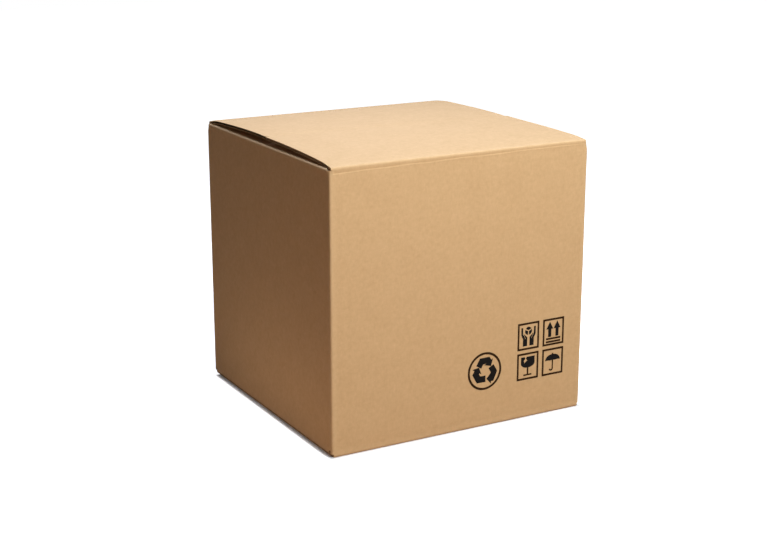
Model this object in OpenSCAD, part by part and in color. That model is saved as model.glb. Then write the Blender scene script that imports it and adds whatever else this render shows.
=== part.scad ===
// Closed corrugated carton: one slotted blank, folded into a box and glued.
// Its outer top flaps are not taped, and spring up over the inner ones.
// The front wall faces -Y, and the box stands on Z = 0.

/* [Box] */
// Outside width, along the front wall
box_w = 410; // [405:5:600]
// Outside depth, from the front wall to the rear wall
box_d = 400; // [200:5:400]
// Outside height, from the floor to the front and rear top creases
box_h = 400; // [150:5:600]

/* [Board] */
// Thickness of the corrugated board
board = 4; // [2.5:0.25:5]
// Inner radius of a fold
score_r = 1; // [0.5:0.25:2]
// Width of the glue tab, inside the rear right corner
tab_w = 35; // [20:1:50]
// How far the glue tab's ends taper in towards its free edge
tab_taper = 12; // [0:1:25]
// Gap between the glued corner's fold and the rear wall's cut edge
joint_gap = 2; // [0.5:0.5:5]

/* [Flaps] */
// Width of the slots: an inner flap's ends lie this far from the front and rear faces
slot_w = 9; // [8:0.5:15]
// Set-in of an outer flap's ends from the side faces
flap_set = 3; // [1:0.5:8]
// Gap between two outer flaps where they meet
seam = 1.5; // [0.5:0.25:4]

/* [Sprung top] */
// How far an outer flap climbs just inside its crease, over the inner flaps' ends
step_over = 0.9; // [0.5:0.1:3]
// How far the front flap arches up at its left end
front_lift = 6.6; // [0:0.2:20]
// How far the rear flap arches up at its left end
rear_lift = 7.4; // [0:0.2:20]
// How far both outer flaps arch up at their right ends
right_lift = 2.4; // [0:0.2:20]
// Where the arch is highest, as a share of the flap's length from its crease
arch_peak = 0.85; // [0.6:0.05:1]

/* [Clearance] */
// Clearance between the outer top flaps and what lies under them
flap_clear = 0.3; // [0.2:0.05:0.6]

/* [Hidden] */
$fn = 48;
kraft = [0.80, 0.66, 0.47];
half_w = box_w / 2;
half_d = box_d / 2;
fold_r = board + score_r;

// The blank's edges are straight, so every flap has the length that lets the
// outer ones meet over the middle of the depth
flap_len = half_d - seam / 2;

// The front and rear walls end under the outer flaps. The side walls fold lower,
// so that their flaps pass under the outer ones.
wall_top = box_h - board - flap_clear;
side_top = box_h - board + step_over - flap_clear;
side_fold_z = side_top - fold_r;

// The outer bottom flaps lie on the floor, with the inner ones on top of them
side_foot_z = board + fold_r;

// The glue tab lies flat against the inner face of the rear wall
tab_y = half_d - board;
tab_low = 2 * board + flap_clear;
tab_high = side_fold_z - flap_clear;

// Steps of an outer flap's outline, round its folded nose and along it, and across it
nose_steps = 5;
arch_steps = 18;
cross_steps = 8;

// Section of a fold about its centre, from the -X side up and over to the top
module fold_section() {
    intersection() {
        difference() {
            circle(r = fold_r);
            circle(r = score_r);
        }
        translate([-fold_r, 0]) square(fold_r);
    }
}

// Section of a fold and the flap beyond it, about the fold's centre
module flap_section() {
    fold_section();
    translate([0, score_r]) square([flap_len - fold_r, board]);
}

// Flap on the -X side of the box, folded over its wall, with its ends at +-end_y
module side_flap(end_y) {
    translate([fold_r - half_w, end_y, 0]) rotate([90, 0, 0])
        linear_extrude(2 * end_y) flap_section();
}

// Flap on the -Y side of the box, folded over its wall, with its ends at +-end_x
module end_flap(end_x) {
    translate([-end_x, fold_r - half_d, 0]) rotate([90, 0, 90])
        linear_extrude(2 * end_x) flap_section();
}

// Upright folded corner, about its centre, between the -X and +Y sides
module corner_fold(low, high) {
    translate([0, 0, low]) linear_extrude(high - low) fold_section();
}

// The four walls, with three folded corners and the rear wall's cut edge
module walls() {
    wall_w = box_w - 2 * fold_r;
    translate([fold_r - half_w, -half_d, fold_r])
        cube([wall_w, board, wall_top - fold_r]);
    translate([fold_r - half_w, half_d - board, fold_r])
        cube([wall_w - joint_gap, board, wall_top - fold_r]);
    translate([-half_w, fold_r - half_d, side_foot_z])
        cube([board, box_d - 2 * fold_r, side_fold_z - side_foot_z]);
    translate([half_w - board, fold_r - half_d, side_foot_z])
        cube([board, half_d - fold_r + tab_y - fold_r, side_fold_z - side_foot_z]);
    translate([fold_r - half_w, half_d - fold_r, 0]) corner_fold(fold_r, wall_top);
    for (side = [0, 1])
        mirror([side, 0, 0]) translate([fold_r - half_w, fold_r - half_d, 0])
            mirror([0, 1, 0]) corner_fold(fold_r, wall_top);
}

// The glue tab, folded round behind the rear wall, with tapered ends
module glue_tab() {
    fold_x = half_w - fold_r;
    free_x = half_w - tab_w;
    translate([fold_x, tab_y - fold_r, 0]) mirror([1, 0, 0]) corner_fold(tab_low, tab_high);
    translate([0, tab_y, 0]) rotate([90, 0, 0]) linear_extrude(board)
        polygon([[fold_x, tab_low], [fold_x, tab_high],
                 [free_x, tab_high - tab_taper], [free_x, tab_low + tab_taper]]);
}

module case() {
    color(kraft) {
        walls();
        glue_tab();
        // Outer bottom flaps, front and rear
        for (side = [0, 1])
            mirror([0, side, 0]) translate([0, 0, fold_r])
                mirror([0, 0, 1]) end_flap(half_w - flap_set);
        // Inner bottom flaps and inner top flaps, left and right
        for (side = [0, 1]) mirror([side, 0, 0]) {
            translate([0, 0, side_foot_z]) mirror([0, 0, 1]) side_flap(half_d - slot_w);
            translate([0, 0, side_fold_z]) side_flap(half_d - slot_w);
        }
    }
}

// Smooth step from 0 to 1
function ease(t) = let (c = max(0, min(1, t))) c * c * (3 - 2 * c);

// Height of an outer flap over its crease, at distance s from the wall's face
function rise(s, lift) =
    step_over * ease(s / slot_w) + lift * (1 - pow(1 - s / flap_len / arch_peak, 2));

// Outline of an outer flap's section as [distance, height]: round its nose from the
// underside, along its top to the tip, and back along its underside
function flap_outline(lift) = concat(
    [for (i = [0 : nose_steps]) let (a = 90 * i / nose_steps, s = board * (1 - cos(a)))
        [s, board * sin(a) + rise(s, lift)]],
    [for (i = [1 : arch_steps]) let (s = flap_station(i)) [s, board + rise(s, lift)]],
    [for (i = [arch_steps : -1 : 0]) let (s = flap_station(i)) [s, rise(s, lift)]]);

// Distances along the flap lie closer together near its crease
function flap_station(i) = board + (flap_len - board) * pow(i / arch_steps, 1.3);

// Outer flap on the front wall, lofted from its left end to its right end
module outer_flap(left_lift) {
    end_x = half_w - flap_set;
    rings = [for (j = [0 : cross_steps]) let (t = j / cross_steps)
        [for (p = flap_outline(left_lift + (right_lift - left_lift) * t))
            [-end_x + 2 * end_x * t, p[0] - half_d, box_h - board + p[1]]]];
    n = len(rings[0]);
    sides = [for (j = [0 : cross_steps - 1], i = [0 : n - 1])
        let (a = j * n + i, b = j * n + (i + 1) % n)
            each [[a, b, b + n], [a, b + n, a + n]]];
    polyhedron(
        points = [for (ring = rings) each ring],
        faces = concat(sides, [[for (i = [n - 1 : -1 : 0]) i]],
                       [[for (i = [0 : n - 1]) cross_steps * n + i]]));
}

module front_flap() {
    color(kraft) outer_flap(front_lift);
}

module rear_flap() {
    color(kraft) mirror([0, 1, 0]) outer_flap(rear_lift);
}

case();
front_flap();
rear_flap();
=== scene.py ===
import math

import bmesh
import bpy
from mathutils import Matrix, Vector, noise


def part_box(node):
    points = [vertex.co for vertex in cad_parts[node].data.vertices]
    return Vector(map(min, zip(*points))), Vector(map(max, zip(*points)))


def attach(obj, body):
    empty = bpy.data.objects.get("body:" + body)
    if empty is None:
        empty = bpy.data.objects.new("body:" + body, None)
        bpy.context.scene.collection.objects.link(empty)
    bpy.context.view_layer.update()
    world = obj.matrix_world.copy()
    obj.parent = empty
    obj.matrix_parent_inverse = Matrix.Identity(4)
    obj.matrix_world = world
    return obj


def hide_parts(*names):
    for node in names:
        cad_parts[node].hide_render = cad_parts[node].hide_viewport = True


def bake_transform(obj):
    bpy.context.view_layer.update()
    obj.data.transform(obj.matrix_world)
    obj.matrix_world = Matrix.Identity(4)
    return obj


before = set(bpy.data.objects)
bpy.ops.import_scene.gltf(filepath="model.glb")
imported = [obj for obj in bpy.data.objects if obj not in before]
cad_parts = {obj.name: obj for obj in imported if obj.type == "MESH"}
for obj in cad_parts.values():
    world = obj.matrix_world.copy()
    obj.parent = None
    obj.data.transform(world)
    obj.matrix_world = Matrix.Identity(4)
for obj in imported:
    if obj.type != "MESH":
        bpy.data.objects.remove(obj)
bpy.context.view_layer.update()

# Camera. A long lens a little above the box, which looks at its printed front wall and
# its left wall.
camera = bpy.data.objects.new("camera", bpy.data.cameras.new("camera"))
bpy.context.scene.collection.objects.link(camera)
bpy.context.scene.camera = camera
camera.data.sensor_width = 36.0
camera.data.lens = 69.7
camera.location = (-1.0585, -1.8627, 0.7854)
camera_turn = math.radians(29.34)
camera_tilt = math.radians(15.55)
camera.rotation_euler = (math.radians(90) - camera_tilt, 0, -camera_turn)
bpy.context.scene.view_settings.view_transform = "Standard"

# Studio. A white room and a white paper floor, as the eye sees them. To the light that
# bounces about they are duller, so that the box's own walls keep their depth.
white = (1, 1, 1)
black = (0, 0, 0)
floor_half = 6.0
floor_seen = (0.9, 0.9, 0.9)
floor_lit = (0.41, 0.25, 0.147)
shadow_w = 0.0025
shadow_fade = 0.004
shadow_light = 0.07
shadow_short = 0.017


def math_node(tree, operation, first, second=None):
    """What a Math node gives. Its values are numbers or other nodes' outputs."""
    node = tree.nodes.new("ShaderNodeMath")
    node.operation = operation
    for socket, value in zip(node.inputs, (first, second)):
        if isinstance(value, (int, float)):
            socket.default_value = value
        elif value is not None:
            tree.links.new(value, socket)
    return node.outputs[0]


def vector_node(tree, operation, vector, other=None):
    """What a Vector Math node gives. The other value is a tuple, or an output that scales."""
    node = tree.nodes.new("ShaderNodeVectorMath")
    node.operation = operation
    tree.links.new(vector, node.inputs[0])
    if isinstance(other, tuple):
        node.inputs[1].default_value = other
    elif other is not None:
        tree.links.new(other, node.inputs["Scale"])
    return node.outputs[0]


def colour_mix(tree, factor, first, second):
    """A mix of two colours, each of them a tuple or another node's output."""
    node = tree.nodes.new("ShaderNodeMix")
    node.data_type = "RGBA"
    tree.links.new(factor, node.inputs["Factor"])
    for socket, value in zip([s for s in node.inputs if s.type == "RGBA"], (first, second)):
        if isinstance(value, tuple):
            socket.default_value = (*value, 1)
        else:
            tree.links.new(value, socket)
    return next(s for s in node.outputs if s.type == "RGBA")


def seen_and_lit(tree, seen, lit):
    """A colour that is one thing to the camera and to gloss, and another to other light."""
    path = tree.nodes.new("ShaderNodeLightPath")
    direct = math_node(tree, "MAXIMUM", path.outputs["Is Camera Ray"], path.outputs["Is Glossy Ray"])
    direct = math_node(tree, "MAXIMUM", direct, path.outputs["Is Transmission Ray"])
    return colour_mix(tree, direct, lit, seen)


room = bpy.data.worlds.new("room")
bpy.context.scene.world = room
room.use_nodes = True
room_light = room.node_tree.nodes["Background"]
room.node_tree.links.new(seen_and_lit(room.node_tree, white, black), room_light.inputs["Color"])

floor_mesh = bpy.data.meshes.new("floor")
floor_mesh.from_pydata(
    [(-floor_half, -floor_half, 0), (floor_half, -floor_half, 0),
     (floor_half, floor_half, 0), (-floor_half, floor_half, 0)], [], [(0, 1, 2, 3)])
floor = bpy.data.objects.new("floor", floor_mesh)
bpy.context.scene.collection.objects.link(floor)
paper = bpy.data.materials.new("floor_paper")
paper.use_nodes = True
floor_tree = paper.node_tree
paper_shader = floor_tree.nodes["Principled BSDF"]
paper_shader.inputs["Roughness"].default_value = 0.9
paper_shader.inputs["Specular IOR Level"].default_value = 0.0
paper_shader.inputs["Emission Strength"].default_value = 1.0
floor_tree.links.new(seen_and_lit(floor_tree, floor_seen, floor_lit), paper_shader.inputs["Base Color"])

# The floor glows white to the eye, but not right round the box's foot, where the shadow
# that it stands in lies. That shadow ends short of the rear wall.
case_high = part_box("case")[1]
shadow_half = (case_high.x, case_high.y - shadow_short / 2, 0)
floor_place = floor_tree.nodes.new("ShaderNodeTexCoord").outputs["Object"]
from_middle = vector_node(floor_tree, "ADD", floor_place, (0, shadow_short / 2, 0))
past_foot = vector_node(
    floor_tree, "SUBTRACT", vector_node(floor_tree, "ABSOLUTE", from_middle), shadow_half)
past_parts = floor_tree.nodes.new("ShaderNodeSeparateXYZ")
floor_tree.links.new(past_foot, past_parts.inputs[0])
past_edge = math_node(floor_tree, "MAXIMUM", past_parts.outputs["X"], past_parts.outputs["Y"])
glow_share = floor_tree.nodes.new("ShaderNodeMapRange")
glow_share.inputs["From Min"].default_value = shadow_w
glow_share.inputs["From Max"].default_value = shadow_w + shadow_fade
glow_share.inputs["To Min"].default_value = shadow_light
floor_tree.links.new(past_edge, glow_share.inputs["Value"])
floor_glow = vector_node(
    floor_tree, "SCALE", seen_and_lit(floor_tree, white, black), glow_share.outputs["Result"])
floor_tree.links.new(floor_glow, paper_shader.inputs["Emission Color"])
floor_mesh.materials.append(paper)


def soft_box(name, place, aim, size, watts, colour):
    """A rectangular lamp at a place, aimed at a point."""
    lamp = bpy.data.lights.new(name, "AREA")
    lamp.shape = "RECTANGLE"
    lamp.size = size[0]
    lamp.size_y = size[1]
    lamp.energy = watts
    lamp.color = colour
    holder = bpy.data.objects.new(name, lamp)
    holder.location = place
    holder.rotation_euler = (Vector(aim) - Vector(place)).to_track_quat("-Z", "Y").to_euler()
    bpy.context.scene.collection.objects.link(holder)


soft_box("overhead_light", (0.30, 0.3, 1.9), (0.0, 0.0, 0.4), (1.1, 1.2), 8.5, (0.60, 0.74, 1.0))
soft_box("top_light", (-0.06, 0.10, 1.05), (-0.06, 0.10, 0.4), (0.40, 0.35), 3.6, (0.63, 0.71, 1.0))
soft_box("front_light", (0.22, -1.35, 1.56), (0.0, -0.1, 0.35), (1.1, 1.0), 43.0, (0.93, 0.97, 0.98))
soft_box("side_light", (-1.2, -1.0, 0.30), (-0.2, 0.0, 0.2), (0.6, 0.10), 1.35, (1.0, 0.60, 0.42))
soft_box("low_light", (-0.36, -0.04, 0.02), (-0.205, -0.04, 0.06), (0.38, 0.03), 0.054, (1.0, 0.82, 0.70))

# Kraft paper, which both liners of the board are made of. Brown, unbleached and matt, with
# long fibres, cloudy tone, and the fluting behind it showing as the faintest washboard.
flute_pitch = 0.0075
dark_kraft = (0.545, 0.345, 0.168)
light_kraft = (0.655, 0.435, 0.228)
rubbed_kraft = (0.70, 0.49, 0.28)
# Cuts are mixed towards this dark: a little of it is the raw board's own colour, the rest is painted
# shade standing in for the shadow deep in the open flutes.
cut_shade_kraft = (0.14, 0.09, 0.045)
broad_scale = 30.0
broad_share = 0.35
small_scale = 150.0
fibre_scale = 420.0
fibre_stretch = (1.0, 1.0, 0.4)
cross_scale = 520.0
cross_stretch = (0.35, 0.35, 1.0)
cross_share = 0.6
rub_scale = 90.0
rub_share = 0.5
rib_share = 0.2
paper_roughness = 0.82
nap = 0.00006
nap_strength = 0.35


def group_socket(group, name, kind, way, value=None):
    """Adds a named socket to a node group."""
    socket = group.interface.new_socket(name=name, in_out=way, socket_type=kind)
    if value is not None:
        socket.default_value = value


def noise_node(tree, scale, detail, place):
    """Noise from 0 to 1 at a place."""
    node = tree.nodes.new("ShaderNodeTexNoise")
    node.inputs["Scale"].default_value = scale
    node.inputs["Detail"].default_value = detail
    tree.links.new(place, node.inputs["Vector"])
    return node.outputs["Fac"]


def stretched(tree, place, scale):
    """A place scaled along each axis, for noise that is longer one way."""
    node = tree.nodes.new("ShaderNodeMapping")
    node.inputs["Scale"].default_value = scale
    tree.links.new(place, node.inputs["Vector"])
    return node.outputs["Vector"]


fibres = bpy.data.node_groups.new("kraft_fibres", "ShaderNodeTree")
group_socket(fibres, "Place", "NodeSocketVector", "INPUT")
group_socket(fibres, "Cloud", "NodeSocketFloat", "INPUT", 0.5)
group_socket(fibres, "Fleck", "NodeSocketFloat", "INPUT", 0.5)
group_socket(fibres, "Tone", "NodeSocketFloat", "OUTPUT")
group_socket(fibres, "Height", "NodeSocketFloat", "OUTPUT")
fibres_in = fibres.nodes.new("NodeGroupInput")
fibres_out = fibres.nodes.new("NodeGroupOutput")
fibre_place = fibres_in.outputs["Place"]
broad_clouds = noise_node(fibres, broad_scale, 3.0, fibre_place)
small_clouds = noise_node(fibres, small_scale, 3.0, fibre_place)
clouds = math_node(
    fibres, "ADD", math_node(fibres, "MULTIPLY", broad_clouds, broad_share),
    math_node(fibres, "MULTIPLY", small_clouds, 1 - broad_share))
long_fibres = noise_node(fibres, fibre_scale, 3.0, stretched(fibres, fibre_place, fibre_stretch))
cross_fibres = noise_node(fibres, cross_scale, 2.0, stretched(fibres, fibre_place, cross_stretch))
fibre_height = math_node(
    fibres, "ADD", long_fibres, math_node(fibres, "MULTIPLY", cross_fibres, cross_share))
cloud_part = math_node(
    fibres, "MULTIPLY", math_node(fibres, "SUBTRACT", clouds, 0.5), fibres_in.outputs["Cloud"])
fleck = math_node(fibres, "SUBTRACT", fibre_height, (1 + cross_share) / 2)
fleck_part = math_node(fibres, "MULTIPLY", fleck, fibres_in.outputs["Fleck"])
fibre_tone = math_node(fibres, "ADD", math_node(fibres, "ADD", cloud_part, fleck_part), 0.5)
fibres.links.new(fibre_tone, fibres_out.inputs["Tone"])
fibres.links.new(fibre_height, fibres_out.inputs["Height"])


def paper_material(name, dark, light, cloud, fleck, specular, on_blank=False):
    """Kraft paper between two tones. On the blank it is rubbed pale at the creases and dark
    in the cuts, a little as raw board and more as painted shade of the open flutes, and
    has the washboard of the flutes."""
    material = bpy.data.materials.new(name)
    material.use_nodes = True
    tree = material.node_tree
    shader = tree.nodes["Principled BSDF"]
    shader.inputs["Roughness"].default_value = paper_roughness
    shader.inputs["Specular IOR Level"].default_value = specular
    place = tree.nodes.new("ShaderNodeTexCoord").outputs["Object"]
    paper_fibres = tree.nodes.new("ShaderNodeGroup")
    paper_fibres.node_tree = fibres
    paper_fibres.inputs["Cloud"].default_value = cloud
    paper_fibres.inputs["Fleck"].default_value = fleck
    tree.links.new(place, paper_fibres.inputs["Place"])
    colour = colour_mix(tree, paper_fibres.outputs["Tone"], dark, light)
    height = paper_fibres.outputs["Height"]
    if on_blank:
        crease = tree.nodes.new("ShaderNodeAttribute")
        crease.attribute_name = "crease"
        patchy = math_node(tree, "MULTIPLY", noise_node(tree, rub_scale, 3.0, place), rub_share)
        rub = math_node(tree, "MULTIPLY", crease.outputs["Fac"], patchy)
        colour = colour_mix(tree, rub, colour, rubbed_kraft)
        # Painted shade at the cuts: the cut attribute darkens raw edges a little, and more the deeper the
        # fluted layer is set back.
        cut = tree.nodes.new("ShaderNodeAttribute")
        cut.attribute_name = "cut"
        colour = colour_mix(tree, cut.outputs["Fac"], colour, cut_shade_kraft)
        blank = tree.nodes.new("ShaderNodeUVMap")
        blank.uv_map = "blank"
        across = tree.nodes.new("ShaderNodeSeparateXYZ")
        tree.links.new(blank.outputs["UV"], across.inputs["Vector"])
        ribs = math_node(tree, "SINE", math_node(
            tree, "MULTIPLY", across.outputs["X"], 2 * math.pi / flute_pitch))
        height = math_node(tree, "ADD", height, math_node(tree, "MULTIPLY", ribs, rib_share))
    bump = tree.nodes.new("ShaderNodeBump")
    bump.inputs["Strength"].default_value = nap_strength
    bump.inputs["Distance"].default_value = nap
    tree.links.new(height, bump.inputs["Height"])
    tree.links.new(bump.outputs["Normal"], shader.inputs["Normal"])
    tree.links.new(colour, shader.inputs["Base Color"])
    return material


kraft = paper_material(
    "kraft_liner", dark_kraft, light_kraft, cloud=1.4, fleck=0.75, specular=0.34, on_blank=True)

# Case. One sheet of corrugated board, slotted and scored flat, then folded round into four
# walls and glued by its tab behind the rear wall. Its bottom flaps are glued shut, and its
# inner top flaps lie folded in.
board = 0.004
liner = 0.0004
score_r = 0.001
flap_fold_power = 5.0
corner_power = 4.5
glue_tab_w = 0.035
glue_tab_taper = 0.012
tab_glue = 0.0002
bottom_glue = 0.0001
joint_gap = 0.002
slot_w = 0.009
slot_lip = 0.0035
flap_clear = 0.0003
diagonal_cut = 0.0025
diagonal_reach = 0.008

flap_low, flap_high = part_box("front_flap")
half_w = case_high.x
half_d = case_high.y
fold_r = board + score_r
quarter = fold_r * math.pi / 2
flap_len = flap_high.y + half_d
outer_flap_end = flap_high.x
inner_flap_end = half_d - slot_w
straight_half_w = half_w - fold_r
straight_half_d = half_d - fold_r
flap_under_z = flap_low.z
wall_top = flap_under_z - flap_clear
side_fold_z = case_high.z - fold_r
side_foot_z = board + fold_r
tab_y = half_d - board


class Panel:
    """A wall of the blank: where its flat part starts, which way it runs and faces, how
    long it is, and the heights of its folds. The blank is measured as u round the box from
    the tab's free edge, v up it, and depth in from its outer face."""

    def __init__(self, name, start, along, facing, length, foot, top):
        self.name = name
        self.start = Vector(start)
        self.along = Vector(along)
        self.facing = Vector(facing)
        self.length = length
        self.foot = foot
        self.top = top
        self.u0 = 0.0


panels = [
    Panel("tab", (half_w - glue_tab_w, tab_y, 0), (1, 0, 0), (0, 1, 0),
          glue_tab_w - fold_r, side_foot_z, side_fold_z),
    Panel("right", (half_w, tab_y - fold_r, 0), (0, -1, 0), (1, 0, 0),
          tab_y - fold_r + straight_half_d, side_foot_z, side_fold_z),
    Panel("front", (straight_half_w, -half_d, 0), (-1, 0, 0), (0, -1, 0),
          2 * straight_half_w, fold_r, wall_top),
    Panel("left", (-half_w, -straight_half_d, 0), (0, 1, 0), (-1, 0, 0),
          2 * straight_half_d, side_foot_z, side_fold_z),
    Panel("rear", (-straight_half_w, half_d, 0), (1, 0, 0), (0, 1, 0),
          2 * straight_half_w - joint_gap, fold_r, wall_top),
]
for before, after in zip(panels, panels[1:]):
    after.u0 = before.u0 + before.length + quarter
tab_panel, right_panel, front_panel, left_panel, rear_panel = panels


def clamp(value):
    """The value, kept between 0 and 1."""
    return min(1.0, max(0.0, value))


def ease(t):
    """A smooth step from 0 to 1."""
    return t * t * (3 - 2 * t)


def bump_at(distance, centre, width):
    """A smooth bump of height 1 at a centre, gone at that width to each side."""
    t = min(1.0, abs(distance - centre) / width)
    return (1 - t * t) ** 2


def waver(x, y, z):
    """Smooth chance between about -1 and 1, the same on every run."""
    return noise.noise(Vector((x, y, z)))


groove_depth = 0.00062
groove_thinning = 1.1
groove_below_top = 0.0012
groove_waver = 0.0010
groove_waver_scale = 21
groove_patch = 0.4
groove_patch_scale = 30
groove_under = 0.0013
groove_over = 0.0050
left_reach = 0.26
left_drop = 0.0032
left_over = 0.0030
groove_steps = (
    (-0.142, -0.0005), (-0.097, 0.0010), (-0.046, 0.0008), (0.010, -0.0008), (0.105, 0.0006))
groove_step_w = 0.005
groove_back_w = 0.08


def pressed_score(x, z):
    """How far the face stands out along the score under an outer top flap's fold: a wavy
    groove with small steps, lower and deeper on the left, that fades up round the fold."""
    lower = clamp(1 - (x + half_w) / left_reach)
    middle = wall_top - groove_below_top - left_drop * lower
    middle += groove_waver * waver(x * groove_waver_scale, 0.3, 0.7)
    for step_x, drop in groove_steps:
        stepped = clamp((x - step_x) / groove_step_w + 0.5)
        middle += drop * (stepped - clamp((x - step_x) / groove_back_w + 0.5))
    depth = groove_depth * (1 - groove_thinning * (x + half_w))
    depth *= 1 + groove_patch * waver(x * groove_patch_scale, 2.1, 0.2)
    below = clamp(1 - (middle - z) / groove_under)
    above = clamp(1 - (z - middle) / (groove_over + left_over * lower))
    return -depth * (ease(below) if z < middle else above)


bow_height = 0.0005
long_wave = 0.00028
long_wave_scale = 9
short_wave = 0.00008
short_wave_scale = 27
flat_by_fold = 0.012
edge_rounding = 0.0005
edge_rounding_w = 0.030
score_w = 0.004
press_depth = 0.00014
press_from_fold = 0.006
press_w = 0.005


def wall_relief(panel, a, v, face):
    """How far a wall stands out of its plane: a slight bow, the long waves of board that
    has been handled, and the pressed band beside each fold."""
    to_fold = max(0.0, min(a, panel.length - a, v - panel.foot, panel.top - v))
    bow = bow_height * math.sin(math.pi * clamp(a / panel.length))
    bow *= math.sin(math.pi * clamp((v - panel.foot) / (panel.top - panel.foot)))
    waves = long_wave * waver(*(Vector((face.x, face.y, v)) * long_wave_scale))
    waves += short_wave * waver(*(Vector((face.x, face.y, v)) * short_wave_scale))
    rounding = edge_rounding * clamp(1 - min(a, panel.length - a) / edge_rounding_w) ** 2
    pressed = press_depth * bump_at(to_fold, press_from_fold, press_w)
    return (bow + waves) * clamp(to_fold / flat_by_fold) - rounding * clamp(to_fold / score_w) - pressed


def squared(turn, power):
    """How much a fold's face stands out past its circle, for a score folds it squarer."""
    return (math.cos(turn) ** power + math.sin(turn) ** power) ** (-1 / power)


def fold_section(panel, v, depth):
    """Distance in from a panel's plane, and height, of the blank's point at height v: on
    the wall, round a fold, or out on a flap."""
    if panel.foot <= v <= panel.top:
        return depth, v
    past = v - panel.top if v > panel.top else panel.foot - v
    turn = min(past / fold_r, math.pi / 2)
    radius = (fold_r - depth) * (1 + (squared(turn, flap_fold_power) - 1) * (1 - depth / board))
    inward = fold_r - radius * math.cos(turn) + max(0.0, past - quarter)
    away = radius * math.sin(turn)
    return inward, (panel.top + away if v > panel.top else panel.foot - away)


same_line = 1e-6
same_point = 1e-9
edge_droop = 0.2
corner_wear = 0.00018
corner_wear_scale = 9
corner_wear_scale_z = 45
corner_crush = 0.0016
corner_crush_above_top = 0.001
corner_crush_w = 0.013


def panel_at(u):
    """The panel that the blank's point at u is on, with the fold after it, and how far
    along that panel it is."""
    panel = [p for p in panels if p.u0 <= u + same_point][-1]
    return panel, u - panel.u0


def wall_place(u, v, depth):
    """Place of a point of the walls, the tab or the upright folds between them."""
    panel, a = panel_at(u)
    on_corner = a > panel.length + same_point
    on_score = panel in (front_panel, rear_panel) or on_corner
    z = v
    if on_score:
        z -= diagonal_cut * depth / board * clamp((v - wall_top) / diagonal_reach + 1)
    if v > side_fold_z and not on_score or on_corner:
        share = clamp((a - panel.length) / quarter) if a > panel.length / 2 else 0.0
        to_side = share if panel is front_panel else 1 - share
        z -= edge_droop * max(0.0, v - side_fold_z) * to_side ** 2
    if on_corner:
        turn = min((a - panel.length) / fold_r, math.pi / 2)
        centre = panel.start + panel.along * panel.length - panel.facing * fold_r
        out = panel.facing * math.cos(turn) + panel.along * math.sin(turn)
        worn = corner_wear * waver(
            centre.x * corner_wear_scale, centre.y * corner_wear_scale, v * corner_wear_scale_z)
        crushed = corner_crush * bump_at(v, wall_top + corner_crush_above_top, corner_crush_w)
        crushed *= math.sin(2 * turn)
        square = fold_r * (squared(turn, corner_power) - 1) * (1 - depth / board)
        return centre + out * (fold_r - depth + worn - crushed + square) + Vector((0, 0, z))
    if panel is tab_panel:
        middle = (panel.foot + panel.top) / 2
        taper = glue_tab_taper / (middle - panel.foot) * (1 - a / panel.length)
        z = middle + (v - middle) * (1 - taper)
        return panel.start + panel.along * a - panel.facing * (depth + tab_glue) + Vector((0, 0, z))
    face = panel.start + panel.along * a
    rise = wall_relief(panel, a, v, face)
    if on_score:
        rise += pressed_score(face.x, v) * (1 - depth / board)
    return face - panel.facing * (depth - rise) + Vector((0, 0, z))


inner_flap_sag = 0.0016
inner_flap_dip = 0.0004
inner_flap_dip_scale = 11


def case_place(region, u, v, depth):
    """Place of a point of the case: on a flap of the named panel, or elsewhere on it. The
    inner top flaps sag a little, and the inner bottom flaps lie on their glue."""
    if region == "wall":
        return wall_place(u, v, depth)
    panel = next(p for p in panels if p.name == region)
    face = panel.start + panel.along * (u - panel.u0)
    inward, z = fold_section(panel, v, depth)
    if v > panel.top:
        out_along = max(0.0, inward - fold_r) / flap_len
        z -= inner_flap_sag * out_along
        dip = 0.5 + waver(face.y * inner_flap_dip_scale, inward * inner_flap_dip_scale, 0)
        z -= inner_flap_dip * clamp(3 * out_along) * dip
    elif panel.foot == side_foot_z:
        z += bottom_glue * clamp((panel.foot - v) / quarter)
    return face - panel.facing * inward + Vector((0, 0, z))


worn_w = 0.007


def case_crease(region, u, v):
    """How worn a point of the case is: 1 on a fold, and 0 away from it."""
    panel, a = panel_at(u)
    aside = min(abs(a - panel.length - quarter / 2), abs(a + quarter / 2))
    above = min(abs(v - panel.top - quarter / 2), abs(v - panel.foot + quarter / 2))
    return clamp(1 - min(aside, above) / worn_w)


flute_depth = 0.005
cut_near = 0.0008
cut_far = 0.0021
cut_ragged = 0.0004
cut_ragged_scale = 90
slot_cut_near = (0.0002, 0.0003)
slot_cut_far = (0.0004, 0.0005)


def open_flutes(key, chance, hollow=0.0):
    """How far the fluted layer lies behind the cut, along u and along v, at the outer and
    at the inner liner. A cut that runs along the flutes shows a ragged slope, and one that
    runs across them shows their open ends."""
    ragged = cut_ragged * waver(key[1] * cut_ragged_scale, key[2] * cut_ragged_scale, chance)
    return (cut_near + ragged + hollow, flute_depth), (cut_far + ragged + hollow, flute_depth)


def case_recess(key):
    """How far the case's fluted layer lies behind its cut. It is level where the outer top
    flaps go on, and shallow in the slots."""
    if key[0] == "wall" and abs(key[2] - wall_top) < same_line:
        return (0.0, 0.0), (0.0, 0.0)
    if key[0] == "wall" and key[2] > side_fold_z - same_line:
        return slot_cut_near, slot_cut_far
    return open_flutes(key, 3.0)


# How dark the cut attribute makes a cut edge: a little on every raw edge, and full painted shade where
# the fluted layer is set back this deep.
cut_shade_least = 0.25
cut_shade_full_depth = 0.006


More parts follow.
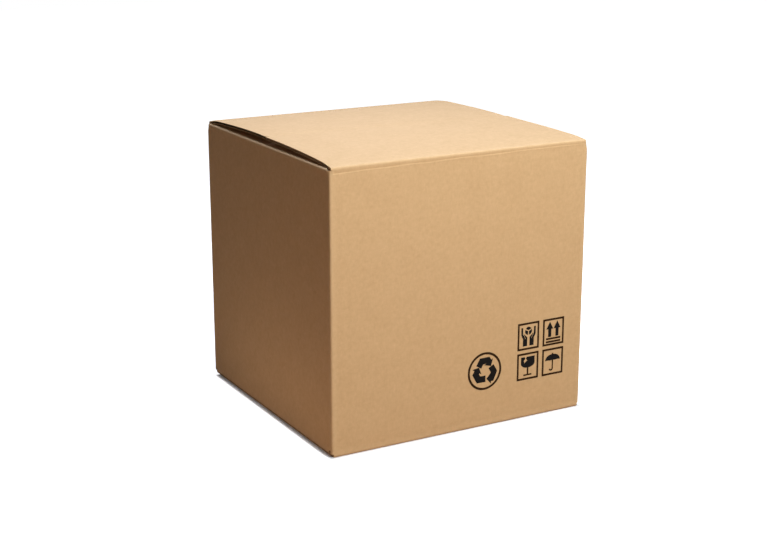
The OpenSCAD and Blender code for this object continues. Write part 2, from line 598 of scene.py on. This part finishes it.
class Blank:
    """Cells of a flat blank, which become closed board when it is folded."""

    def __init__(self, place, crease, recess):
        self.place = place
        self.crease = crease
        self.recess = recess
        self.cells = []

    def grid(self, rows):
        """Adds the cells between rows of corners. A corner is (region, u, v)."""
        for low, high in zip(rows, rows[1:]):
            for i in range(len(low) - 1):
                self.cells.append((low[i], high[i], high[i + 1], low[i + 1]))

    def cut_edges(self):
        """The cells' sides that only one cell has, and which way is out at their ends."""
        sides = {}
        for cell in self.cells:
            for a, b in zip(cell, cell[1:] + cell[:1]):
                sides.setdefault(frozenset((a, b)), []).append((a, b, cell))
        cut = [uses[0] for uses in sides.values() if len(uses) == 1]
        outward = {}
        for a, b, cell in cut:
            axis = 1 if abs(a[1] - b[1]) > abs(a[2] - b[2]) else 0
            middle = sum(key[axis + 1] for key in cell) / 4
            for key in (a, b):
                outward.setdefault(key, [0, 0])[axis] = 1 if a[axis + 1] > middle else -1
        return cut, outward

    def build(self, name):
        """The folded board: both liners, and at the cut edges their lips, with the fluted
        layer set back between them."""
        cut, outward = self.cut_edges()
        index, points, uvs, worn, cut_shade = {}, [], [], [], []

        def vertex(key, layer, depth, set_back=(0, 0)):
            out = outward.get(key, (0, 0))
            back = (out[0] * set_back[0], out[1] * set_back[1])
            # Where it isn't set back, a root is one with its lip.
            if not any(back):
                layer = layer.replace("root", "lip")
            if (key, layer) not in index:
                u = key[1] - back[0]
                v = key[2] - back[1]
                index[key, layer] = len(points)
                points.append(self.place(key[0], u, v, depth))
                uvs.append((u, v))
                worn.append(self.crease(*key))
                # Painted shade on the cut edges, darker the deeper the fluted layer is set back.
                deep = max(abs(back[0]), abs(back[1]))
                on_face = layer in ("outer", "inner")
                cut_shade.append(0.0 if on_face else clamp(cut_shade_least + deep / cut_shade_full_depth))
            return index[key, layer]

        faces, sharp = [], set()
        for cell in self.cells:
            faces.append([vertex(key, "outer", 0.0) for key in cell])
            faces.append([vertex(key, "inner", board) for key in reversed(cell)])
        for a, b, cell in cut:
            rings = []
            for key in (a, b):
                near, far = self.recess(key)
                rings.append([
                    vertex(key, "outer", 0.0), vertex(key, "outer_lip", liner),
                    vertex(key, "outer_root", liner, near),
                    vertex(key, "inner_root", board - liner, far),
                    vertex(key, "inner_lip", board - liner), vertex(key, "inner", board)])
            for i in range(5):
                quad = (rings[1][i], rings[0][i], rings[0][i + 1], rings[1][i + 1])
                corners = list(dict.fromkeys(quad))
                if len(corners) > 2:
                    faces.append(corners)
            sharp.update(frozenset(pair) for pair in zip(*rings))
        mesh = bpy.data.meshes.new(name)
        mesh.from_pydata(points, [], faces)
        mesh.polygons.foreach_set("use_smooth", [True] * len(faces))
        marks = mesh.attributes.new("sharp_edge", "BOOLEAN", "EDGE")
        marks.data.foreach_set("value", [frozenset(e.vertices) in sharp for e in mesh.edges])
        mesh.attributes.new("crease", "FLOAT", "POINT").data.foreach_set("value", worn)
        mesh.attributes.new("cut", "FLOAT", "POINT").data.foreach_set("value", cut_shade)
        flat = mesh.uv_layers.new(name="blank")
        for corner in mesh.loops:
            flat.data[corner.index].uv = uvs[corner.vertex_index]
        mesh.materials.append(kraft)
        piece = bpy.data.objects.new(name, mesh)
        bpy.context.scene.collection.objects.link(piece)
        return piece


steps_from_fold = (0.0015, 0.0035, 0.006, 0.009, 0.013, 0.019)


def spread(length, step):
    """Distances from 0 to a length, closer together near both ends."""
    near = [n for n in steps_from_fold if n < 0.4 * length]
    count = max(1, round((length - 2 * near[-1]) / step))
    middle = [near[-1] + (length - 2 * near[-1]) * i / count for i in range(count + 1)]
    return sorted({0.0, length, *near[:-1], *(length - n for n in near[:-1]), *middle})


cell_size = 0.0105
front_cell_size = 0.0070
flap_cell_size = 0.013
fold_steps = 6
steps_under_side_fold = (0.0005, 0.0010, 0.0020, 0.0026, 0.0031, 0.0042)
step_over_side_fold = 0.0008
steps_under_top = (0.0027, 0.0022, 0.0017, 0.0013, 0.0009, 0.0005, 0.0002, 0.0)
over_corner = fold_r * math.asin((outer_flap_end - straight_half_w) / fold_r)
arc_steps = {quarter * i / fold_steps for i in range(fold_steps + 1)}
arc_steps |= {over_corner, quarter - over_corner}
side_inset = straight_half_d - inner_flap_end
around = set()
for panel in panels:
    steps = set(spread(panel.length, front_cell_size if panel.foot == fold_r else cell_size))
    if panel in (left_panel, right_panel):
        steps.add(panel.length - side_inset)
    if panel is left_panel:
        steps.add(side_inset)
    around |= {round(panel.u0 + s, 7) for s in steps}
    if panel is not rear_panel:
        around |= {round(panel.u0 + panel.length + s, 7) for s in arc_steps}
around = sorted(around)

side_rows = [side_foot_z + s for s in spread(side_fold_z - side_foot_z, cell_size)]
side_rows += [side_fold_z - s for s in steps_under_side_fold]
side_rows.sort()
wall_rows = [fold_r, (fold_r + side_foot_z) / 2, *side_rows, side_fold_z + step_over_side_fold]
wall_rows += [wall_top - s for s in steps_under_top]
fold_rows = [quarter * i / fold_steps for i in range(1, fold_steps + 1)]
flap_rows = fold_rows + [quarter + s for s in spread(flap_len - fold_r, flap_cell_size)[1:]]

case_blank = Blank(case_place, case_crease, case_recess)


def columns(low, high):
    """The blank's cell corners from low to high along u."""
    return [u for u in around if low - same_line <= u <= high + same_line]


def add_wall(low, high, rows):
    """Adds the cells of a wall, or of an upright fold, from low to high along u."""
    case_blank.grid([[("wall", u, round(v, 7)) for u in columns(low, high)] for v in rows])


for panel in panels:
    end = panel.u0 + panel.length
    add_wall(panel.u0, end, side_rows if panel.foot == side_foot_z else wall_rows)
    if panel is not rear_panel:
        add_wall(end, end + quarter, side_rows if panel is tab_panel else wall_rows)

# Small lips of board, which the slots leave beside the upright folds.
lip_rows = [v for v in wall_rows if v > side_fold_z - same_line]
add_wall(left_panel.u0, left_panel.u0 + slot_lip, lip_rows)
for panel in (left_panel, right_panel):
    end = panel.u0 + panel.length
    add_wall(end - slot_lip, end, lip_rows)


def add_flap(panel, u_low, u_high, up):
    """Adds a flap of the case, beyond a panel's upper or lower fold. It returns where the
    flap starts and ends along u, and where its tip is."""
    fold = panel.top if up else panel.foot
    way = 1 if up else -1
    flap_columns = columns(u_low, u_high)
    rows = [[("wall", u, round(fold, 7)) for u in flap_columns]]
    rows += [[(panel.name, u, round(fold + way * s, 7)) for u in flap_columns] for s in flap_rows]
    case_blank.grid(rows if up else rows[::-1])
    return flap_columns[0], flap_columns[-1], fold + way * flap_rows[-1]


tips = []
for up in (True, False):
    tips.append((left_panel, up, *add_flap(
        left_panel, left_panel.u0 + side_inset, left_panel.u0 + left_panel.length - side_inset, up)))
    tips.append((right_panel, up, *add_flap(
        right_panel, right_panel.u0, right_panel.u0 + right_panel.length - side_inset, up)))
tips.append((front_panel, False, *add_flap(
    front_panel, front_panel.u0 - over_corner,
    front_panel.u0 + front_panel.length + over_corner, False)))
tips.append((rear_panel, False, *add_flap(
    rear_panel, rear_panel.u0 - over_corner, rear_panel.u0 + rear_panel.length, False)))

case_board = case_blank.build("case_board")
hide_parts("case")
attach(case_board, "case")

# Outer top flaps, front and rear. They are the same sheet as the walls, bent over at the
# score, and nobody has taped them: they spring up in an arch, higher on the left.
front_lift = 0.0066
rear_lift = 0.0074
right_lift = 0.0024
step_over = 0.0009
arch_peak = 0.85
outer_climb = 0.024
nose = board * math.pi / 2
nose_end = flap_clear + nose
nose_power = 2.5
inner_reach = 0.02
flap_wave = 0.0004
flap_wave_scale = 14
wave_from = 0.03
tip_w = 0.03
front_perk = 0.0004
rear_settle = 0.0010
settle_from = 0.003
settle_w = 0.012
end_crush = 0.0010
end_crush_w = 0.012
end_crush_reach = 0.030
flap_worn_w = 0.008
nose_cut_past = 0.004
nose_cut_near = (0.0002, 0.0)
nose_cut_far = (0.0003, 0.0)
# The rear flap's left end lies this much deeper, which also gives it full painted shade.
end_hollow = 0.0060
nose_steps = 8


def sprung_height(s, lift, climb=slot_w):
    """Height of an outer flap over its level place, at distance s from the wall's face. It
    climbs over the inner flaps' ends within the climb, which is longer on its outer liner."""
    arched = 1 - (1 - s / flap_len / arch_peak) ** 2
    return step_over * ease(clamp(s / climb)) + lift * arched


def outer_flap_place(side, left_lift):
    """Place of the points of the outer flap on the side of -Y (-1) or +Y (1). There u
    goes along the wall, and v over the nose of the fold and out along the flap."""

    def place(region, u, v, depth):
        x = side * (u - outer_flap_end)
        lift = left_lift + (right_lift - left_lift) * (x + outer_flap_end) / (2 * outer_flap_end)
        turn = clamp((v - flap_clear) / nose)
        angle = turn * math.pi / 2
        square = squared(angle, nose_power)
        s = board * (1 - math.cos(angle) * square) + max(0.0, v - nose_end)
        past_corner = max(0.0, abs(x) - straight_half_w)
        inset = (fold_r - math.sqrt(fold_r ** 2 - past_corner ** 2)) * (1 - turn)
        z = flap_under_z + board * math.sin(angle) * square + sprung_height(s, lift, outer_climb)
        if v < flap_clear:
            z = wall_top + v
        outer = Vector((s + inset - pressed_score(x, z) * math.cos(angle), z))
        if turn < 1:
            root = Vector((board, wall_top - diagonal_cut))
            elbow = Vector((board, flap_under_z))
            ahead = board + diagonal_cut
            out = Vector((ahead, flap_under_z + sprung_height(ahead, lift)))
            bend = v / nose_end
            inner = root * (1 - bend) ** 2 + elbow * 2 * bend * (1 - bend) + out * bend ** 2
        else:
            ahead = s + diagonal_cut * clamp(1 - (s - board) / inner_reach)
            inner = Vector((ahead, flap_under_z + sprung_height(ahead, lift)))
        at = outer.lerp(inner, depth / board)
        wave = flap_wave * waver(x * flap_wave_scale, at.x * flap_wave_scale, side)
        wave *= clamp(at.x / wave_from)
        to_tip = clamp((at.x - flap_len) / tip_w + 1) ** 2
        settled = -front_perk
        if side > 0:
            settled = rear_settle * clamp((x + outer_flap_end - settle_from) / settle_w)
        to_end = clamp(1 - (outer_flap_end - abs(x)) / end_crush_w) ** 2
        crushed = end_crush * to_end * clamp(1 - at.x / end_crush_reach)
        crushed *= turn * (1 - depth / board)
        return Vector((x, side * (half_d - at.x), at.y + wave - settled * to_tip - crushed))

    return place


def outer_flap_crease(region, u, v):
    """How worn a point of an outer flap is: 1 on the nose of its fold, and 0 away from it."""
    return clamp(1 - abs(v - nose / 2) / flap_worn_w)


def outer_flap_recess(side):
    """How far an outer flap's fluted layer lies behind its cut. The rear flap's left end is
    cut between two flutes and shows a deep hollow, dark in its own shadow and in the
    painted shade that its depth gives, and the other ends aren't."""

    def recess(key):
        if key[2] < nose + nose_cut_past:
            return nose_cut_near, nose_cut_far
        return open_flutes(key, 5.0, end_hollow if side > 0 and key[1] < outer_flap_end else 0.0)

    return recess


flap_columns = [round(s, 7) for s in spread(2 * outer_flap_end, front_cell_size)]
nose_rows = [0.0] + [flap_clear + nose * i / nose_steps for i in range(nose_steps + 1)]
out_rows = [nose_end + s for s in spread(flap_len - board, cell_size)[1:]]
outer_rows = [round(v, 7) for v in nose_rows + out_rows]
outer_tip = outer_rows[-1]
outer_places = {}
for body, side, left_lift in (("front_flap", -1, front_lift), ("rear_flap", 1, rear_lift)):
    outer_places[body] = outer_flap_place(side, left_lift)
    blank = Blank(outer_places[body], outer_flap_crease, outer_flap_recess(side))
    blank.grid([[("flap", u, v) for u in flap_columns] for v in outer_rows])
    flap_board = blank.build(body + "_board")
    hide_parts(body)
    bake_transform(flap_board)

# Fluted medium. The wavy middle layer of the board, of rougher and darker paper. It shows
# at the tips of the flaps, where the cut runs across the flutes.
medium_thick = 0.0003
wave_h = board - 2 * liner - medium_thick
strip_depth = flute_depth - 0.0007
strip_from_tip = 0.0004
strip_from_end = 0.0026
points_per_wave = 12
weld = 0.000002
dark_medium = (0.40, 0.25, 0.12)
light_medium = (0.50, 0.325, 0.165)
medium_kraft = paper_material(
    "medium_paper", dark_medium, light_medium, cloud=1.2, fleck=1.0, specular=0.15)


def fluted_medium_tree():
    """Geometry nodes: a strip along X, its flutes along Y, and its waves in Z."""
    tree = bpy.data.node_groups.new("fluted_medium", "GeometryNodeTree")
    group_socket(tree, "Geometry", "NodeSocketGeometry", "INPUT")
    group_socket(tree, "Length", "NodeSocketFloat", "INPUT", 0.4)
    group_socket(tree, "Depth", "NodeSocketFloat", "INPUT", strip_depth)
    group_socket(tree, "Wave Height", "NodeSocketFloat", "INPUT", wave_h)
    group_socket(tree, "Pitch", "NodeSocketFloat", "INPUT", flute_pitch)
    group_socket(tree, "Thickness", "NodeSocketFloat", "INPUT", medium_thick)
    group_socket(tree, "Points", "NodeSocketInt", "INPUT", 500)
    group_socket(tree, "Geometry", "NodeSocketGeometry", "OUTPUT")
    given = tree.nodes.new("NodeGroupInput")
    result = tree.nodes.new("NodeGroupOutput")
    flat = tree.nodes.new("GeometryNodeMeshGrid")
    flat.inputs["Vertices Y"].default_value = 3
    tree.links.new(given.outputs["Length"], flat.inputs["Size X"])
    tree.links.new(given.outputs["Depth"], flat.inputs["Size Y"])
    tree.links.new(given.outputs["Points"], flat.inputs["Vertices X"])
    position = tree.nodes.new("GeometryNodeInputPosition")
    parts = tree.nodes.new("ShaderNodeSeparateXYZ")
    tree.links.new(position.outputs["Position"], parts.inputs["Vector"])
    turns = math_node(tree, "DIVIDE", parts.outputs["X"], given.outputs["Pitch"])
    wave = math_node(tree, "SINE", math_node(tree, "MULTIPLY", turns, 2 * math.pi))
    half_height = math_node(tree, "MULTIPLY", given.outputs["Wave Height"], 0.5)
    lift = tree.nodes.new("ShaderNodeCombineXYZ")
    tree.links.new(math_node(tree, "MULTIPLY", wave, half_height), lift.inputs["Z"])
    waved = tree.nodes.new("GeometryNodeSetPosition")
    tree.links.new(flat.outputs["Mesh"], waved.inputs["Geometry"])
    tree.links.new(lift.outputs["Vector"], waved.inputs["Offset"])
    thick = tree.nodes.new("GeometryNodeExtrudeMesh")
    thick.inputs["Individual"].default_value = False
    tree.links.new(waved.outputs["Geometry"], thick.inputs["Mesh"])
    tree.links.new(given.outputs["Thickness"], thick.inputs["Offset Scale"])
    under = tree.nodes.new("GeometryNodeFlipFaces")
    tree.links.new(waved.outputs["Geometry"], under.inputs["Mesh"])
    both = tree.nodes.new("GeometryNodeJoinGeometry")
    tree.links.new(thick.outputs["Mesh"], both.inputs["Geometry"])
    tree.links.new(under.outputs["Mesh"], both.inputs["Geometry"])
    merged = tree.nodes.new("GeometryNodeMergeByDistance")
    merged.inputs["Distance"].default_value = weld
    tree.links.new(both.outputs["Geometry"], merged.inputs["Geometry"])
    realized = tree.nodes.new("GeometryNodeRealizeInstances")
    tree.links.new(merged.outputs["Geometry"], realized.inputs["Geometry"])
    painted = tree.nodes.new("GeometryNodeSetMaterial")
    painted.inputs["Material"].default_value = medium_kraft
    tree.links.new(realized.outputs["Geometry"], painted.inputs["Geometry"])
    tree.links.new(painted.outputs["Geometry"], result.inputs["Geometry"])
    return tree


medium_tree = fluted_medium_tree()
medium_sockets = {item.name: item.identifier for item in medium_tree.interface.items_tree
                  if item.in_out == "INPUT"}


def medium_strip(name, body, place, region, u_low, u_high, v_tip, up):
    """The medium in the open edge of a flap, from u_low to u_high, just inside its tip."""
    length = u_high - u_low - 2 * strip_from_end
    piece = bpy.data.objects.new(name, bpy.data.meshes.new(name))
    bpy.context.scene.collection.objects.link(piece)
    modifier = piece.modifiers.new("fluted_medium", "NODES")
    modifier.node_group = medium_tree
    modifier[medium_sockets["Length"]] = length
    modifier[medium_sockets["Depth"]] = strip_depth
    modifier[medium_sockets["Wave Height"]] = wave_h
    modifier[medium_sockets["Pitch"]] = flute_pitch
    modifier[medium_sockets["Thickness"]] = medium_thick
    modifier[medium_sockets["Points"]] = round(length / flute_pitch * points_per_wave) + 1
    graph = bpy.context.evaluated_depsgraph_get()
    mesh = bpy.data.meshes.new_from_object(piece.evaluated_get(graph), depsgraph=graph)
    piece.modifiers.clear()
    piece.data = mesh
    mesh.name = name
    way = 1 if up else -1
    for point in mesh.vertices:
        u = (u_low + u_high) / 2 + point.co.x
        v = v_tip - way * (strip_from_tip + strip_depth / 2 - point.co.y)
        point.co = place(region, u, v, board / 2 + way * (point.co.z - medium_thick / 2))
    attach(piece, body)


for panel, up, u_low, u_high, v_tip in tips:
    name = "_".join((panel.name, "top" if up else "bottom", "flap_medium"))
    medium_strip(name, "case", case_place, panel.name, u_low, u_high, v_tip, up)
for body, place in outer_places.items():
    medium_strip(body + "_medium", body, place, "flap", 0.0, 2 * outer_flap_end, outer_tip, True)

# Printed marks. One colour of dark flexographic ink on the front wall, low on its right:
# a ring of three arrows, and four framed care marks.
ink_thick = 0.00012
ink_buried = 0.0003
ink_step = 0.004
ink_weld = 1e-6
thin_line = 0.0036
ink_tones = ((0.007, 0.006, 0.006), (0.015, 0.013, 0.012))
thin_ink_tones = ((0.024, 0.011, 0.004), (0.046, 0.023, 0.010))
ink = paper_material("dark_ink", *ink_tones, cloud=1.5, fleck=1.2, specular=0.04)
thin_ink = paper_material("thin_ink", *thin_ink_tones, cloud=1.5, fleck=1.2, specular=0.04)


def dense(line):
    """The line with points added, so that no two are further apart than a step."""
    points = [Vector(line[0])]
    for a, b in zip(line, line[1:]):
        count = max(1, math.ceil((Vector(b) - Vector(a)).length / ink_step))
        points += [Vector(a).lerp(Vector(b), i / count) for i in range(1, count + 1)]
    return points


def round_from(centre, radius, degrees):
    """The point at an angle round a centre."""
    angle = math.radians(degrees)
    return (centre[0] + radius * math.cos(angle), centre[1] + radius * math.sin(angle))


def arc(centre, radius, start, end, count):
    """Points of an arc, with its angles in degrees."""
    steps = [start + (end - start) * i / count for i in range(count + 1)]
    return [round_from(centre, radius, step) for step in steps]


class Mark:
    """A printed mark, of thin films that follow the front wall. Its shapes are given in
    metres to the right of its centre and up from it."""

    def __init__(self, name, x, z):
        self.name = name
        self.centre = Vector((x, z))
        self.mesh = bmesh.new()

    def film(self, rows, thin=False, ring=False):
        """A closed film over rows of points, with no ends where it is a ring. A thin line
        takes less ink, and is browner."""
        layers = []
        for depth in (-ink_thick, ink_buried):
            layer = []
            for row in rows:
                at = [self.centre + Vector(p) for p in row]
                layer.append([self.mesh.verts.new(wall_place(
                    front_panel.u0 + straight_half_w - p.x, p.y, depth)) for p in at])
            layers.append(layer)
        front, back = layers
        last = len(rows) - 1
        wide = len(rows[0]) - 1
        quads = []
        for i in range(last):
            for j in range(wide):
                quads.append([front[i][j], front[i][j + 1], front[i + 1][j + 1], front[i + 1][j]])
                quads.append([back[i][j], back[i + 1][j], back[i + 1][j + 1], back[i][j + 1]])
            quads.append([front[i][0], front[i + 1][0], back[i + 1][0], back[i][0]])
            quads.append([front[i][wide], back[i][wide], back[i + 1][wide], front[i + 1][wide]])
        for j in range(0 if ring else wide):
            quads.append([front[0][j], back[0][j], back[0][j + 1], front[0][j + 1]])
            quads.append([front[last][j], front[last][j + 1], back[last][j + 1], back[last][j]])
        for quad in quads:
            self.mesh.faces.new(quad).material_index = 1 if thin else 0
        own = [point for layer in layers for row in layer for point in row]
        bmesh.ops.remove_doubles(self.mesh, verts=own, dist=ink_weld)

    def area(self, left, right, across=1):
        """Fills between two lines that have as many points as each other."""
        self.film([[Vector(a).lerp(Vector(b), j / across) for j in range(across + 1)]
                   for a, b in zip(left, right)])

    def stroke(self, line, width, closed=False):
        """A line of even width, with mitred corners."""
        points = dense([*line, line[0]] if closed else line)
        rows = []
        for i, point in enumerate(points):
            before = points[i - 1] if i else (points[-2] if closed else None)
            after = points[i + 1] if i + 1 < len(points) else (points[1] if closed else None)
            ways = [(b - a).normalized() for a, b in ((before, point), (point, after)) if a and b]
            way = sum(ways, Vector((0, 0))).normalized()
            aside = Vector((-way.y, way.x)) * (width / 2 / max(0.5, way.dot(ways[0])))
            rows.append([point + aside, point - aside])
        self.film(rows, width < thin_line, closed)

    def build(self):
        """Makes the mark's object of its films."""
        bmesh.ops.dissolve_degenerate(self.mesh, edges=self.mesh.edges, dist=ink_weld)
        bmesh.ops.recalc_face_normals(self.mesh, faces=self.mesh.faces)
        mesh = bpy.data.meshes.new(self.name)
        self.mesh.to_mesh(mesh)
        self.mesh.free()
        mesh.materials.append(ink)
        mesh.materials.append(thin_ink)
        piece = bpy.data.objects.new(self.name, mesh)
        bpy.context.scene.collection.objects.link(piece)
        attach(piece, "case")


frame_w = 0.0370
frame_h = 0.0406
frame_line = 0.0030


def framed_mark(name, x, z):
    """A mark with the frame that the care marks share."""
    mark = Mark(name, x, z)
    w = (frame_w - frame_line) / 2
    h = (frame_h - frame_line) / 2
    mark.stroke([(w, -h), (w, h), (-w, h), (-w, -h)], frame_line, closed=True)
    return mark


left_column = 0.1117
right_column = 0.1552
upper_row = 0.1233
lower_row = 0.0780

# Hands round a ball: handle with care. The ball's three parts have fine gaps between them.
hands = framed_mark("mark_hands", left_column, upper_row)
ball_r = 0.0052
ball_z = 0.0078
ball_gap = 0.0009
for low, high in ((28, 152), (152, 270), (270, 388)):
    middle = round_from((0, ball_z), ball_gap, (low + high) / 2)
    rim = arc(middle, ball_r, low, high, 8)
    hands.area(rim, [middle] * len(rim))
wrist = -0.0146
finger = ((0.0124, 0.0134), (0.0124, 0.0030), (0.0108, -0.0010), (0.0093, -0.0032), (0.0093, wrist))
palm = ((0.0094, 0.0134), (0.0092, 0.0034), (0.0072, 0.0004), (0.0058, -0.0026), (0.0058, wrist))
thumb = ((0.0084, 0.0036), (0.0066, 0.0006), (0.0051, -0.0026), (0.0051, wrist))
inside = ((0.0079, 0.0038), (0.0046, 0.0010), (0.0020, -0.0018), (0.0020, wrist))
palm_edge = ((0.0058, -0.0040), (0.0058, wrist))
thumb_edge = ((0.0051, -0.0040), (0.0051, wrist))
for way in (-1, 1):
    for left, right in ((finger, palm), (thumb, inside), (palm_edge, thumb_edge)):
        hands.area([(way * x, z) for x, z in left], [(way * x, z) for x, z in right])
hands.build()

# Two arrows over a ground line: this way up.
arrows = framed_mark("mark_upward", right_column, upper_row)
head_half = 0.0060
head_top = 0.0158
head_foot = 0.0046
shaft_foot = -0.0073
shaft_w = 0.0054
ground_half = 0.0127
ground_w = 0.0029
for x in (-0.0064, 0.0064):
    arrows.area([(x, head_top), (x - head_half, head_foot)],
                [(x, head_top), (x + head_half, head_foot)], 2)
    arrows.stroke([(x, head_foot), (x, shaft_foot)], shaft_w)
for z in (-0.0101, -0.0147):
    arrows.stroke([(-ground_half, z), (ground_half, z)], ground_w)
arrows.build()

# A cracked glass: fragile.
glass = framed_mark("mark_glass", left_column, lower_row)
glass_half = 0.0118
bowl_top = 0.0046
bowl_h = 0.0068
crack = [(0.0143, -0.0056, -0.0018), (0.0119, -0.0046, -0.0031), (0.0106, -0.0053, -0.0024),
         (0.0087, -0.0073, -0.0011), (0.0068, -0.0060, -0.0037), (bowl_top, -0.0062, -0.0062)]
glass.area([(-glass_half, z) for z, left, right in crack], [(left, z) for z, left, right in crack], 2)
glass.area([(right, z) for z, left, right in crack], [(glass_half, z) for z, left, right in crack], 3)
bowl_turns = [math.radians(85 * i / 8) for i in range(9)]
bowl = [(-glass_half * math.cos(a), bowl_top - bowl_h * math.sin(a)) for a in bowl_turns]
glass.area(bowl, [(-x, z) for x, z in bowl], 5)
stem_w = 0.0028
foot_half = 0.0070
foot_z = -0.0130
foot_h = 0.0024
glass.stroke([(0.0, bowl_top - bowl_h), (0.0, foot_z + foot_h / 2)], stem_w)
glass.stroke([(-foot_half, foot_z), (foot_half, foot_z)], foot_h)
glass.build()

# An open umbrella: keep dry.
umbrella = framed_mark("mark_umbrella", right_column, lower_row)
cloth_half = 0.0130
cloth_z = 0.0020
dome_h = 0.0092
dome_r = 0.0131
scallop_z = 0.0017
scallop_h = 0.0005
cloth = [cloth_half * (i / 9 - 1) for i in range(19)]
umbrella.area(
    [(x, cloth_z + dome_h * math.sqrt(max(0.0, 1 - (x / dome_r) ** 2))) for x in cloth],
    [(x, scallop_z + scallop_h * abs(math.sin(math.pi * i / 6))) for i, x in enumerate(cloth)], 2)
stick_w = 0.0023
hook_r = 0.0025
hook_z = -0.0106
hook = arc((-hook_r, hook_z), hook_r, 0, -170, 10)
umbrella.stroke([(0.0, 0.0128), (0.0, cloth_z + dome_h)], stick_w)
umbrella.stroke([(0.0, scallop_z + scallop_h), *hook], stick_w)
umbrella.build()

# Three arrows that chase each other in a ring: the paper can be used again.
cycle = Mark("mark_cycle", 0.0381, 0.0829)
ring_r = 0.0264
ring_w = 0.0034
cycle.stroke(arc((0, 0), ring_r, 0, 352.5, 47), ring_w, closed=True)
band_w = 0.0096
bend_share = 0.25
for turn, corner_r, head_w, tail_at, neck_at, tip_at in (
        (90, 0.0245, 0.0165, 0.47, 0.31, 0.50), (210, 0.0230, 0.0175, 0.54, 0.35, 0.53),
        (330, 0.0242, 0.0168, 0.49, 0.24, 0.42)):
    behind, here, ahead = [
        Vector(round_from((0, 0), corner_r, turn + step)) for step in (120, 0, -120)]
    bend = [here.lerp(behind, bend_share), here.lerp(ahead, min(bend_share, neck_at - 0.02))]
    neck = here.lerp(ahead, neck_at)
    tip = here.lerp(ahead, tip_at)
    cycle.stroke([here.lerp(behind, tail_at), *bend, neck], band_w)
    aside = (tip - neck).orthogonal().normalized() * head_w / 2
    cycle.area([neck + aside, tip], [neck - aside, tip], 2)
cycle.build()
